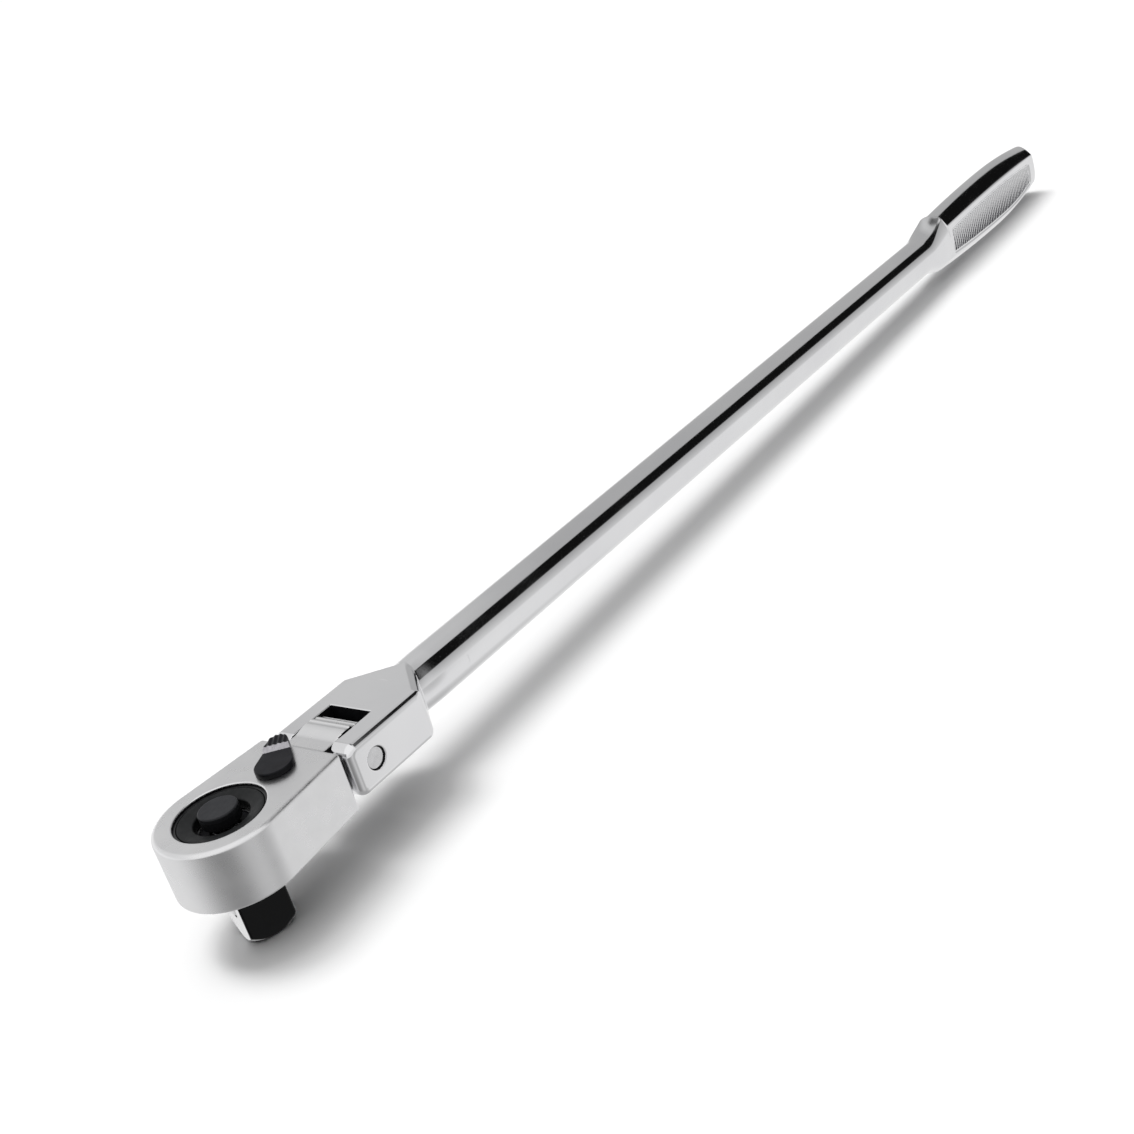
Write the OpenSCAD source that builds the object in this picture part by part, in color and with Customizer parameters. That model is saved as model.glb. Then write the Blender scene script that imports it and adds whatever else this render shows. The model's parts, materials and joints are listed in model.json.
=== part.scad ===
// Flex-head ratchet wrench with a half-inch square drive.
// X runs along the handle, Z is up (button side), the origin is on the drive axis
// at the socket shoulder under the head. All sizes are in millimetres.

/* [Drive square] */
// Width across the flats of the drive square
square_w = 12.7; // [12.5:0.1:12.9]
// Length of the drive square below the shoulder
square_len = 16.7; // [15:0.1:18]
// Rounding of the four long edges of the square
square_edge_r = 0.7; // [0.4:0.1:1]
// Turn of the square about the drive axis at rest, in degrees
square_turn = -20; // [-40:5:40]
// Radius of the socket detent ball
ball_r = 2.4; // [2.2:0.1:2.5]
// How far the ball stands out of the face
ball_proud = 0.7; // [0.5:0.1:0.8]
// Height of the ball below the shoulder
ball_drop = 8; // [7:0.5:9]

/* [Gear] */
// Number of ratchet teeth
teeth = 72; // [60:12:84]
// Radius over the tooth tips
gear_tip_r = 10.9; // [10.7:0.05:11]
// Radius at the tooth roots
gear_root_r = 10.2; // [10:0.05:10.3]
// Underside of the toothed rim
gear_low = 3.6; // [3.5:0.1:4]
// Top of the toothed rim
gear_high = 11.4; // [11:0.1:11.8]
// Radius of the lower journal, which the socket shoulder ends
journal_r = 9.4; // [9.2:0.05:9.6]
// Radius of the upper hub
hub_r = 6.4; // [6:0.1:6.6]
// Top of the upper hub
hub_high = 12.2; // [11.9:0.1:12.2]

/* [Head] */
// Outside radius of the head
head_r = 16.8; // [16.5:0.1:17.5]
// Height of the head
head_h = 16.8; // [16.6:0.1:17.2]
// Chamfer around the top and bottom rims
head_chamfer = 1; // [0.6:0.1:1.2]
// Distance from the drive axis to the flat rear wall
rear_x = 27.8; // [27.5:0.1:28]
// Half width of the rear wall
rear_half_w = 14.3; // [14:0.1:14.5]
// Radius of the bore that holds the cover plate
plate_bore_r = 11.64; // [11.6:0.01:11.7]
// Height of the ledge that the cover plate sits on
ledge_z = 12.6; // [12.5:0.1:12.8]
// Running clearance of turning fits, on the radius
fit = 0.05; // [0.03:0.01:0.08]

/* [Reversing lever] */
// Distance from the drive axis to the lever axis
lever_x = 19.4; // [19.2:0.1:19.6]
// Throw of the lever to each side of the middle, in degrees
lever_throw = 38; // [34:2:40]
// Radius of the lever stem
stem_r = 3.1; // [3:0.05:3.2]
// Radius of the broad end of the lever
lever_broad_r = 5; // [4.6:0.1:5.2]
// Radius of the narrow end of the lever
lever_tip_r = 2.7; // [2.4:0.1:3]
// Distance from the lever axis to the centre of the narrow end
lever_reach = 9.2; // [8.6:0.1:9.6]
// Height of the lever plate over the head
lever_plate_h = 1.8; // [1.5:0.1:2.2]
// Height of the thumb tab over the lever plate
lever_tab_h = 1.3; // [1:0.1:1.6]

/* [Quick release] */
// Radius of the push button
button_r = 5; // [4.8:0.1:5.4]
// Height of the button top above the shoulder
button_top = 18.1; // [17.8:0.1:18.6]
// Travel of the button
button_travel = 2.2; // [2:0.1:2.3]
// Radius of the release pin
release_r = 2.05; // [2:0.01:2.05]

/* [Flex joint] */
// Distance from the drive axis to the hinge axis
hinge_x = 37.8; // [37.6:0.1:38]
// Height of the hinge axis, and of the handle axis
hinge_z = 8.4; // [8.2:0.1:8.6]
// Radius of the hinge pin
hinge_pin_r = 3; // [2.8:0.1:3.2]
// Distance from the hinge axis to the front edge of the ears
ear_reach = 8.3; // [8.1:0.1:8.5]
// Rounding of the front corners of the ears
ear_corner_r = 3.4; // [3.2:0.1:3.8]
// Half thickness of the clevis, top to bottom
clevis_half_t = 7.5; // [7.3:0.1:7.6]
// Half width of the clevis
clevis_half_w = 14.1; // [13.9:0.1:14.3]
// Distance from the drive axis to the shoulder of the clevis
shoulder_x = 58.1; // [57.5:0.1:59]
// Half width of the slot between the ears
slot_half_w = 7.4; // [7.2:0.1:7.6]
// Distance from the drive axis to the floor of the slot
slot_x = 46.4; // [46.3:0.1:47]
// Radius of the knuckle on the head
knuckle_r = 8; // [7.8:0.1:8.1]
// Depth of the index grooves across the knuckle
index_depth = 0.3; // [0.2:0.05:0.4]
// Angle between index grooves, in degrees
index_step = 15; // [10:5:15]

/* [Handle] */
// Radius of the round shaft
shaft_r = 7.75; // [7.4:0.05:8]
// Distance from the drive axis to the start of the grip flare
flare_x = 408; // [300:1:420]
// Length of the flare from the shaft to the grip
flare_len = 21; // [18:1:26]
// Distance from the flare start to the thickest place of the grip
belly_len = 84; // [76:1:88]
// Half height of the oval grip at its thickest place
grip_half_h = 13; // [11:0.1:14]
// Half width of the oval grip at its thickest place
grip_half_w = 9.1; // [8.5:0.1:11]
// Overall length of the grip from the flare start to the butt
grip_len = 132; // [128:1:140]
// Depth of the grip panels
panel_depth = 0.5; // [0.3:0.1:0.8]
// Half height of the grip panels
panel_half_h = 7.4; // [6:0.1:8]

/* [Hidden] */
$fn = 96;
cut = 0.5;
press = 0.01;
hull_fn = 96;

// drive axis stack
plate_flange_z = 15;
plate_top_z = 16;
plate_flange_r = plate_bore_r - 0.06;
plate_boss_r = 10.8;
plate_hole_r = 7;
plate_dish = 0.7;
plate_taper = 0.4;
plate_rim = 1;
ring_inner_r = 11;
ring_groove_r = 12.3;
ring_outer_r = ring_groove_r - 0.08;
ring_thick = 0.8;
ring_gap_angle = 24;
gear_bore_r = gear_tip_r + 0.25;
gear_bore_low = gear_low - 0.15;
seal_section_r = 0.6;
seal_groove_r = journal_r - 2 * seal_section_r;
seal_z = 1.8;
washer_inner_r = hub_r + fit;
washer_outer_r = 10.2;
square_chamfer = square_w * (sqrt(2) - 1) / 2;

// quick release
release_bore_r = release_r + fit;
spring_bore_r = 3.9;
spring_floor_z = 6.2;
cap_low_z = 14.5;
cap_chamfer = 0.4;
button_coil_r = 3;
button_wire_r = 0.4;
button_turns = 5;
pin_top_z = 16;
pin_low_z = -12.6;
pin_bore_low = -15.2;
pin_groove_r = 1.25;
pin_groove_gap = 0.1;
pin_groove_len = 3.8;
ball_centre = square_w / 2 + ball_proud - ball_r;
ball_bore_r = ball_r + fit;
ball_turn = 180 + square_turn;

// pawl and reversing lever
pawl_x = 13.6;
pawl_pin_r = 1.2;
pawl_low = 3.8;
pawl_high = 10.8;
pawl_outer_r = 14.6;
pawl_relief_r = gear_tip_r + 0.45;
pawl_span = 46;
pawl_tooth_span = 24;
pawl_heel_x = 15.6;
pawl_heel_half_w = 5.2;
lever_to_pawl = 10;
pawl_swing = 2 * lever_throw / lever_to_pawl;
swing_steps = 12;
mesh_gap = 0.06;
pocket_r = 15.2;
pocket_low = 3.45;
pocket_high = 11.2;
pocket_front_x = 7;
pocket_heel_x = 17.2;
pocket_heel_half_w = 6.4;
plunger_r = 1.1;
plunger_reach = 3.3;
plunger_z = 7.3;
plunger_slack = 0.4;
plunger_coil_r = 0.7;
plunger_wire_r = 0.15;
plunger_turns = 4;
plunger_room = plunger_reach + plunger_r + plunger_slack;
plunger_tail = 0.9;
stem_low = 0.9;
clip_z = 1.3;
clip_thick = 0.6;
clip_groove_r = 2.3;
clip_r = 4.2;
clip_room_r = 4.6;
clip_room_h = 2.3;
clip_mouth_half_w = 2;
lever_gap = 0.1;
lever_front = 1.6;
lever_seal_z = 13.8;
lever_seal_r = 0.5;
lever_seal_major = 2.55;
lever_tab_start = 4.2;
lever_rib_pitch = 1.25;
lever_rib_count = 4;
lever_rib_side = 0.5;

// flex joint
tongue_half_w = 7.25;
tongue_half_t = 7.2;
index_range = 90;
hinge_bore_r = hinge_pin_r + fit;
pin_end_chamfer = 0.4;
hinge_pin_inset = 0.15;
index_ball_r = 2.2;
index_ball_gap = 0.04;
index_bore_r = 2.25;
index_bore_depth = 15;
index_coil_r = 1.6;
index_wire_r = 0.3;
index_turns = 7;
index_groove_r = 1;
clevis_chamfer = 1.2;
shoulder_slope = 1.1;
shoulder_tip_half_w = 2;
shaft_start_x = shoulder_x + 4;

// grip loft
belly_x = flare_x + belly_len;
butt_x = flare_x + grip_len;
high_front_curve = 0.0005;
high_rear_curve = 0.0009;
wide_front_curve = 0.0003;
wide_rear_curve = 0.0004;
butt_round = 5;
root_len = 4;
root_inset = 0.5;
shaft_lap = 8;
flare_steps = 9;
belly_steps = 12;
butt_steps = 4;
grip_sides = 36;
panel_start_x = flare_x + 25;
panel_end_x = butt_x - 4;
panel_nose_half_h = 3.5;
panel_nose_len = 22;

function ease(t) = t * t * (3 - 2 * t);
function barrel(x, most, front, rear) = most - (x < belly_x ? front : rear) * pow(x - belly_x, 2);
function flared(x, full) =
    x < flare_x ? shaft_r - root_inset :
    x < flare_x + flare_len ? shaft_r + ease((x - flare_x) / flare_len) * (full - shaft_r) : full;
function butt_loss(x) =
    let (t = (x - butt_x + butt_round) / butt_round)
    t > 0 ? butt_round * (1 - sqrt(max(0, 1 - t * t))) : 0;
function half_height(x) =
    flared(x, barrel(x, grip_half_h, high_front_curve, high_rear_curve)) - butt_loss(x);
function half_width(x) =
    flared(x, barrel(x, grip_half_w, wide_front_curve, wide_rear_curve)) - butt_loss(x);
function grip_stations() = concat(
    [flare_x - root_len],
    [for (i = [1:flare_steps]) flare_x + flare_len * i / flare_steps],
    [for (i = [1:belly_steps]) flare_x + flare_len
        + (grip_len - flare_len - butt_round) * i / belly_steps],
    [for (i = [1:butt_steps]) butt_x - butt_round * (1 - sin(90 * i / butt_steps))]
);

module about(x, turn) {
    translate([x, 0])
        rotate(turn)
            translate([-x, 0])
                children();
}

module ring(outer, inner, low, high) {
    translate([0, 0, low])
        difference() {
            cylinder(r = outer, h = high - low);
            translate([0, 0, -cut])
                cylinder(r = inner, h = high - low + 2 * cut);
        }
}

module chamfered_disc(r, h, c) {
    cylinder(r1 = r - c, r2 = r, h = c, $fn = hull_fn);
    translate([0, 0, h - c])
        cylinder(r1 = r, r2 = r - c, h = c, $fn = hull_fn);
}

function coil_ring(major, wire, z, turn, sides) = [
    for (k = [0:sides - 1])
        let (b = 360 * k / sides)
        [(major + wire * cos(b)) * cos(turn), (major + wire * cos(b)) * sin(turn), z + wire * sin(b)]
];

// helical compression spring standing on z = 0, closed by flat ends
module spring(major, wire, height, turns, per_turn = 14, sides = 6) {
    count = turns * per_turn;
    rise = height - 2 * wire;
    points = [
        for (i = [0:count])
            each coil_ring(major, wire, wire + rise * i / count, 360 * i / per_turn, sides)
    ];
    sides_faces = [
        for (i = [0:count - 1])
            for (k = [0:sides - 1])
                let (a = i * sides + k, b = i * sides + (k + 1) % sides)
                each [[a, a + sides, b], [b, a + sides, b + sides]]
    ];
    first_end = [for (k = [0:sides - 1]) k];
    last_end = [for (k = [sides - 1:-1:0]) count * sides + k];
    polyhedron(points, concat(sides_faces, [first_end], [last_end]));
}

module gear_plan(gap = 0) {
    polygon([
        for (i = [0:2 * teeth - 1])
            let (r = (i % 2 == 0 ? gear_tip_r : gear_root_r) + gap, a = i * 180 / teeth)
            [r * cos(a), r * sin(a)]
    ]);
}

module pocket_plan() {
    intersection() {
        circle(r = pocket_r);
        translate([pocket_front_x, -pocket_r])
            square([pocket_r, 2 * pocket_r]);
    }
    translate([pocket_front_x, -pocket_heel_half_w])
        square([pocket_heel_x - pocket_front_x, 2 * pocket_heel_half_w]);
    intersection() {
        translate([lever_x, 0])
            circle(r = plunger_room);
        translate([pocket_front_x, -plunger_room])
            square([lever_x - pocket_front_x, 2 * plunger_room]);
    }
}

module index_grooves() {
    for (a = [-index_range:index_step:index_range])
        translate([hinge_x, 0, hinge_z])
            rotate([0, -a, 0])
                translate([knuckle_r + index_groove_r - index_depth, 0, 0])
                    rotate([90, 0, 0])
                        cylinder(r = index_groove_r, h = 2 * slot_half_w, center = true, $fn = 24);
}

module head_housing() {
    color("gainsboro")
        difference() {
            union() {
                hull() {
                    chamfered_disc(head_r, head_h, head_chamfer);
                    for (side = [-1, 1])
                        translate([rear_x - head_chamfer, side * (rear_half_w - head_chamfer), 0])
                            chamfered_disc(head_chamfer, head_h, head_chamfer / 2);
                }
                translate([rear_x - cut, -tongue_half_w, hinge_z - tongue_half_t])
                    cube([hinge_x - rear_x + cut, 2 * tongue_half_w, 2 * tongue_half_t]);
                translate([hinge_x, 0, hinge_z])
                    rotate([90, 0, 0])
                        cylinder(r = knuckle_r, h = 2 * tongue_half_w, center = true);
            }
            translate([0, 0, -cut])
                cylinder(r = journal_r + fit, h = head_h);
            translate([0, 0, gear_bore_low])
                cylinder(r = gear_bore_r, h = head_h);
            translate([0, 0, ledge_z])
                cylinder(r = plate_bore_r, h = head_h);
            translate([0, 0, plate_flange_z])
                cylinder(r = ring_groove_r, h = ring_thick + 2 * fit);
            translate([0, 0, pocket_low])
                linear_extrude(pocket_high - pocket_low)
                    pocket_plan();
            translate([lever_x, 0, -cut])
                cylinder(r = stem_r + fit, h = head_h + 2 * cut);
            translate([lever_x, 0, -cut])
                cylinder(r = clip_room_r, h = clip_room_h + cut);
            translate([pawl_x, 0, gear_low - pawl_pin_r])
                cylinder(r = pawl_pin_r, h = pocket_high);
            translate([hinge_x, 0, hinge_z])
                rotate([90, 0, 0])
                    cylinder(r = hinge_bore_r, h = 2 * clevis_half_w, center = true);
            index_grooves();
        }
}

module cover_plate() {
    color("dimgray")
        difference() {
            union() {
                translate([0, 0, ledge_z])
                    cylinder(r = plate_flange_r, h = plate_flange_z - ledge_z);
                translate([0, 0, plate_flange_z])
                    cylinder(
                        r1 = plate_boss_r,
                        r2 = plate_boss_r - plate_taper,
                        h = plate_top_z - plate_flange_z
                    );
            }
            translate([0, 0, ledge_z - cut])
                cylinder(r = plate_hole_r, h = head_h);
            translate([0, 0, plate_top_z - plate_dish])
                cylinder(r1 = plate_hole_r, r2 = plate_boss_r - plate_rim, h = plate_dish + fit);
        }
}

module plate_retaining_ring() {
    ring_low = plate_flange_z + fit;
    color("darkslategray")
        difference() {
            ring(ring_outer_r, ring_inner_r, ring_low, ring_low + ring_thick);
            rotate(180 - ring_gap_angle / 2)
                translate([0, 0, ring_low - cut])
                    rotate_extrude(angle = ring_gap_angle)
                        translate([ring_inner_r - cut, 0])
                            square([ring_groove_r, ring_thick + 2 * cut]);
        }
}

module gear_seal_ring() {
    color("black")
        translate([0, 0, seal_z])
            rotate_extrude()
                translate([seal_groove_r + seal_section_r, 0])
                    circle(r = seal_section_r - fit / 2, $fn = 32);
}

module gear_thrust_washer() {
    color("silver")
        ring(washer_outer_r, washer_inner_r, gear_high + fit, ledge_z - fit);
}

module square_plan() {
    half = square_w / 2 - square_edge_r;
    square([square_w, 2 * half], center = true);
    square([2 * half, square_w], center = true);
    for (x = [-half, half])
        for (y = [-half, half])
            translate([x, y])
                circle(r = square_edge_r, $fn = 32);
}

module ball_bore() {
    rotate(ball_turn)
        translate([0, 0, -ball_drop])
            rotate([0, 90, 0])
                cylinder(r = ball_bore_r, h = square_w);
}

module drive_gear() {
    color("dimgray")
        difference() {
            union() {
                translate([0, 0, gear_low])
                    linear_extrude(gear_high - gear_low)
                        gear_plan();
                cylinder(r = journal_r, h = gear_low);
                translate([0, 0, gear_high])
                    cylinder(r = hub_r, h = hub_high - gear_high);
                rotate(square_turn)
                    translate([0, 0, -square_len])
                        intersection() {
                            linear_extrude(square_len + cut)
                                square_plan();
                            union() {
                                cylinder(r1 = square_w / 2, r2 = square_w / 2 + square_chamfer,
                                    h = square_chamfer);
                                translate([0, 0, square_chamfer])
                                    cylinder(r = square_w, h = square_len);
                            }
                        }
            }
            translate([0, 0, seal_z])
                rotate_extrude()
                    translate([seal_groove_r, -seal_section_r])
                        square([2 * seal_section_r + cut, 2 * seal_section_r]);
            translate([0, 0, pin_bore_low])
                cylinder(r = release_bore_r, h = head_h + square_len);
            translate([0, 0, spring_floor_z])
                cylinder(r = spring_bore_r, h = head_h);
            ball_bore();
        }
}

module release_button() {
    color("black")
        difference() {
            union() {
                translate([0, 0, cap_low_z])
                    cylinder(r = button_r, h = button_top - cap_low_z - cap_chamfer);
                translate([0, 0, button_top - cap_chamfer])
                    cylinder(r1 = button_r, r2 = button_r - cap_chamfer, h = cap_chamfer);
            }
            translate([0, 0, cap_low_z - cut])
                cylinder(r = release_r, h = pin_top_z - cap_low_z + cut);
        }
}

module release_pin() {
    groove_low = -ball_drop + pin_groove_gap;
    groove_depth = release_r - pin_groove_r;
    color("silver")
        rotate_extrude()
            polygon([
                [0, pin_low_z],
                [release_r - pin_end_chamfer, pin_low_z],
                [release_r, pin_low_z + pin_end_chamfer],
                [release_r, groove_low],
                [pin_groove_r, groove_low + groove_depth],
                [pin_groove_r, groove_low + pin_groove_len - groove_depth],
                [release_r, groove_low + pin_groove_len],
                [release_r, pin_top_z],
                [0, pin_top_z]
            ]);
}

module button_spring() {
    color("silver")
        translate([0, 0, spring_floor_z])
            spring(button_coil_r, button_wire_r, cap_low_z - spring_floor_z, button_turns);
}

module socket_ball() {
    color("silver")
        rotate(ball_turn)
            translate([ball_centre, 0, -ball_drop])
                sphere(r = ball_r);
}

module pawl_plan() {
    difference() {
        union() {
            intersection() {
                circle(r = pawl_outer_r);
                about(pawl_x, -pawl_swing)
                    circle(r = pawl_outer_r);
                polygon([
                    [0, 0],
                    [head_r, -head_r * tan(pawl_span)],
                    [head_r, head_r * tan(pawl_span)]
                ]);
            }
            translate([gear_tip_r, -pawl_heel_half_w])
                square([pawl_heel_x - gear_tip_r, 2 * pawl_heel_half_w]);
        }
        circle(r = gear_root_r - mesh_gap);
        intersection() {
            circle(r = pawl_relief_r);
            polygon([
                [0, 0],
                [head_r, -head_r * tan(pawl_tooth_span)],
                [head_r, head_r * tan(pawl_tooth_span)]
            ]);
        }
        for (i = [0:swing_steps]) {
            swing = pawl_swing * i / swing_steps;
            about(pawl_x, -swing)
                gear_plan(mesh_gap);
            about(pawl_x, -swing)
                about(lever_x, lever_throw - lever_to_pawl * swing)
                    translate([lever_x - plunger_reach, 0])
                        circle(r = plunger_r + mesh_gap, $fn = 32);
        }
        translate([pawl_x, 0])
            circle(r = pawl_pin_r + fit);
    }
}

module pawl() {
    color("gray")
        translate([0, 0, pawl_low])
            linear_extrude(pawl_high - pawl_low)
                pawl_plan();
}

module pawl_pin() {
    color("silver")
        translate([pawl_x, 0, gear_low - pawl_pin_r])
            cylinder(r = pawl_pin_r - press, h = pocket_high);
}

module at_lever() {
    translate([lever_x, 0, 0])
        rotate(lever_throw)
            children();
}

module lever_outline() {
    hull() {
        translate([-lever_front, 0])
            circle(r = lever_broad_r, $fn = 64);
        translate([lever_reach, 0])
            circle(r = lever_tip_r, $fn = 64);
    }
}

module lever_tab() {
    intersection() {
        linear_extrude(lever_tab_h)
            lever_outline();
        translate([lever_tab_start, -lever_broad_r, 0])
            cube([lever_reach + lever_tip_r, 2 * lever_broad_r, lever_tab_h]);
    }
}

module reversing_lever() {
    plate_low = head_h + lever_gap;
    plate_high = plate_low + lever_plate_h;
    color("black")
        at_lever()
            difference() {
                union() {
                    translate([0, 0, plate_low])
                        linear_extrude(lever_plate_h)
                            lever_outline();
                    translate([0, 0, plate_high])
                        lever_tab();
                    translate([0, 0, stem_low])
                        cylinder(r = stem_r, h = plate_high - stem_low);
                }
                for (i = [1:lever_rib_count])
                    translate([
                        lever_tab_start,
                        lever_rib_pitch * (i - (lever_rib_count + 1) / 2),
                        plate_high + lever_tab_h
                    ])
                        rotate([45, 0, 0])
                            cube([2 * lever_reach, lever_rib_side, lever_rib_side], center = true);
                translate([0, 0, lever_seal_z])
                    ring(stem_r + cut, lever_seal_major - lever_seal_r, -lever_seal_r, lever_seal_r);
                translate([0, 0, clip_z])
                    ring(stem_r + cut, clip_groove_r, -fit, clip_thick + fit);
                translate([0, 0, plunger_z])
                    rotate([0, -90, 0])
                        cylinder(r = plunger_r + fit, h = 2 * stem_r);
                translate([0, 0, plunger_z])
                    sphere(r = plunger_r + fit);
            }
}

module lever_seal_ring() {
    color("black")
        translate([lever_x, 0, lever_seal_z])
            rotate_extrude()
                translate([lever_seal_major, 0])
                    circle(r = lever_seal_r - fit / 2, $fn = 32);
}

module lever_clip() {
    color("silver")
        at_lever()
            difference() {
                ring(clip_r, clip_groove_r + press, clip_z, clip_z + clip_thick);
                translate([0, -clip_mouth_half_w, 0])
                    cube([clip_room_r, 2 * clip_mouth_half_w, clip_room_h]);
            }
}

module pawl_plunger() {
    color("silver")
        at_lever()
            translate([0, 0, plunger_z])
                rotate([0, -90, 0])
                    union() {
                        translate([0, 0, plunger_tail])
                            cylinder(r = plunger_r, h = plunger_reach - plunger_tail);
                        translate([0, 0, plunger_reach])
                            sphere(r = plunger_r);
                    }
}

module plunger_spring() {
    color("silver")
        at_lever()
            translate([plunger_tail, 0, plunger_z])
                rotate([0, -90, 0])
                    spring(plunger_coil_r, plunger_wire_r, 2 * plunger_tail, plunger_turns);
}

module ear_profile(length) {
    corner_x = ear_corner_r - ear_reach;
    corner_y = clevis_half_t - ear_corner_r;
    translate([-ear_reach, -corner_y])
        square([length, 2 * corner_y]);
    translate([corner_x, -clevis_half_t])
        square([length, 2 * clevis_half_t]);
    for (side = [-1, 1])
        translate([corner_x, side * corner_y])
            circle(r = ear_corner_r);
}

module clevis() {
    tip_x = shoulder_x + (clevis_half_w - shoulder_tip_half_w) / shoulder_slope;
    intersection() {
        translate([hinge_x, clevis_half_w, hinge_z])
            rotate([90, 0, 0])
                linear_extrude(2 * clevis_half_w)
                    ear_profile(tip_x);
        linear_extrude(head_h)
            polygon([
                [hinge_x - ear_reach - cut, -clevis_half_w],
                [shoulder_x, -clevis_half_w],
                [tip_x, -shoulder_tip_half_w],
                [tip_x, shoulder_tip_half_w],
                [shoulder_x, clevis_half_w],
                [hinge_x - ear_reach - cut, clevis_half_w]
            ]);
        translate([0, 0, hinge_z])
            rotate([90, 0, 90])
                linear_extrude(tip_x)
                    polygon([
                        for (sy = [-1, 1])
                            for (step = [0:3])
                                let (
                                    end = step == 0 || step == 3,
                                    w = end ? clevis_half_w - clevis_chamfer : clevis_half_w,
                                    t = end ? clevis_half_t : clevis_half_t - clevis_chamfer
                                )
                                [sy * w, (step < 2 ? -sy : sy) * t]
                    ]);
    }
}

// oval loft from the end of the round shaft to the butt
module grip_body(inset) {
    stations = grip_stations();
    last = len(stations) - 1;
    points = [
        for (x = stations)
            for (k = [0:grip_sides - 1])
                let (a = 360 * k / grip_sides)
                [x, (half_width(x) - inset) * cos(a), hinge_z + (half_height(x) - inset) * sin(a)]
    ];
    walls = [
        for (i = [0:last - 1])
            for (k = [0:grip_sides - 1])
                let (a = i * grip_sides + k, b = i * grip_sides + (k + 1) % grip_sides)
                each [[a, a + grip_sides, b], [b, a + grip_sides, b + grip_sides]]
    ];
    front_end = [for (k = [0:grip_sides - 1]) k];
    butt_end = [for (k = [grip_sides - 1:-1:0]) last * grip_sides + k];
    polyhedron(points, concat(walls, [front_end], [butt_end]));
}

module panel_window() {
    translate([0, grip_half_h, hinge_z])
        rotate([90, 0, 0])
            linear_extrude(2 * grip_half_h)
                polygon([
                    [panel_start_x, -panel_nose_half_h],
                    [panel_start_x + panel_nose_len, -panel_half_h],
                    [panel_end_x - panel_nose_len, -panel_half_h],
                    [panel_end_x, -panel_nose_half_h],
                    [panel_end_x, panel_nose_half_h],
                    [panel_end_x - panel_nose_len, panel_half_h],
                    [panel_start_x + panel_nose_len, panel_half_h],
                    [panel_start_x, panel_nose_half_h]
                ]);
}

module handle() {
    color("gainsboro")
        difference() {
            union() {
                clevis();
                translate([shaft_start_x, 0, hinge_z])
                    rotate([0, 90, 0])
                        cylinder(r = shaft_r, h = flare_x + shaft_lap - shaft_start_x);
                difference() {
                    grip_body(0);
                    difference() {
                        panel_window();
                        grip_body(panel_depth);
                    }
                }
            }
            translate([hinge_x - 2 * ear_reach, -slot_half_w, -cut])
                cube([slot_x - hinge_x + 2 * ear_reach, 2 * slot_half_w, head_h + 2 * cut]);
            translate([hinge_x, 0, hinge_z])
                rotate([90, 0, 0])
                    cylinder(r = hinge_pin_r, h = 2 * clevis_half_w + cut, center = true);
            translate([slot_x - cut, 0, hinge_z])
                rotate([0, 90, 0])
                    cylinder(r = index_bore_r, h = index_bore_depth + cut);
        }
}

module hinge_pin() {
    length = 2 * (clevis_half_w - hinge_pin_inset);
    color("silver")
        translate([hinge_x, 0, hinge_z])
            rotate([90, 0, 0])
                union() {
                    cylinder(r = hinge_pin_r - press, h = length - 2 * pin_end_chamfer, center = true);
                    for (end = [0, 1])
                        mirror([0, 0, end])
                            translate([0, 0, length / 2 - pin_end_chamfer])
                                cylinder(r1 = hinge_pin_r - press, r2 = hinge_pin_r - pin_end_chamfer,
                                    h = pin_end_chamfer);
                }
}

module index_ball() {
    color("silver")
        translate([hinge_x + knuckle_r + index_ball_gap + index_ball_r, 0, hinge_z])
            sphere(r = index_ball_r);
}

module index_spring() {
    spring_start = hinge_x + knuckle_r + index_ball_gap + 2 * index_ball_r;
    color("silver")
        translate([spring_start, 0, hinge_z])
            rotate([0, 90, 0])
                spring(index_coil_r, index_wire_r, slot_x + index_bore_depth - spring_start, index_turns);
}

head_housing();
cover_plate();
plate_retaining_ring();
gear_seal_ring();
gear_thrust_washer();
drive_gear();
release_button();
release_pin();
button_spring();
socket_ball();
pawl();
pawl_pin();
reversing_lever();
lever_seal_ring();
lever_clip();
pawl_plunger();
plunger_spring();
handle();
hinge_pin();
index_ball();
index_spring();
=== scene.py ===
import json
import math

import bpy
import numpy as np
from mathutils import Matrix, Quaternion, Vector


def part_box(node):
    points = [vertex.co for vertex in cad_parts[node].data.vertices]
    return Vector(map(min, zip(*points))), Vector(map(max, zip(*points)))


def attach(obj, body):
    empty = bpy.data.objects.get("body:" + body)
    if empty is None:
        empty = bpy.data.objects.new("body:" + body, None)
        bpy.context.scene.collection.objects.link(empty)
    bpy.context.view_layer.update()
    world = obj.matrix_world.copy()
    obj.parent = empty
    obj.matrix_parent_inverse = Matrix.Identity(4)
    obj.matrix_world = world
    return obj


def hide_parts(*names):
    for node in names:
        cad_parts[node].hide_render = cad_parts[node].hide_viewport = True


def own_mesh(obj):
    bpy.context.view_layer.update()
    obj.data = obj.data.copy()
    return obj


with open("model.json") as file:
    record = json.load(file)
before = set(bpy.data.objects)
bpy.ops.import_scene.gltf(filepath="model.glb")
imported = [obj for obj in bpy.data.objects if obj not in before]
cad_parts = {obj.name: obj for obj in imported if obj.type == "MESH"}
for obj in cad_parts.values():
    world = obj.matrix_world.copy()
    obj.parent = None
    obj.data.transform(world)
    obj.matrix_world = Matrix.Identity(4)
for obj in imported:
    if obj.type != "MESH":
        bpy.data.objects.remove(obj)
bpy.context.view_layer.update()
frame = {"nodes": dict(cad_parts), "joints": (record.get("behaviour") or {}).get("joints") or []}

MM = 0.001

# ---------------------------------------------------------------------------
# Places and sizes, in millimetres, read from the frame
# ---------------------------------------------------------------------------


def span(node):
    low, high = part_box(node)
    return np.array(low) / MM, np.array(high) / MM


def joint_at(name):
    return [c / MM for c in next(j for j in frame["joints"] if j["name"] == name)["pos_m"]]


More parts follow.
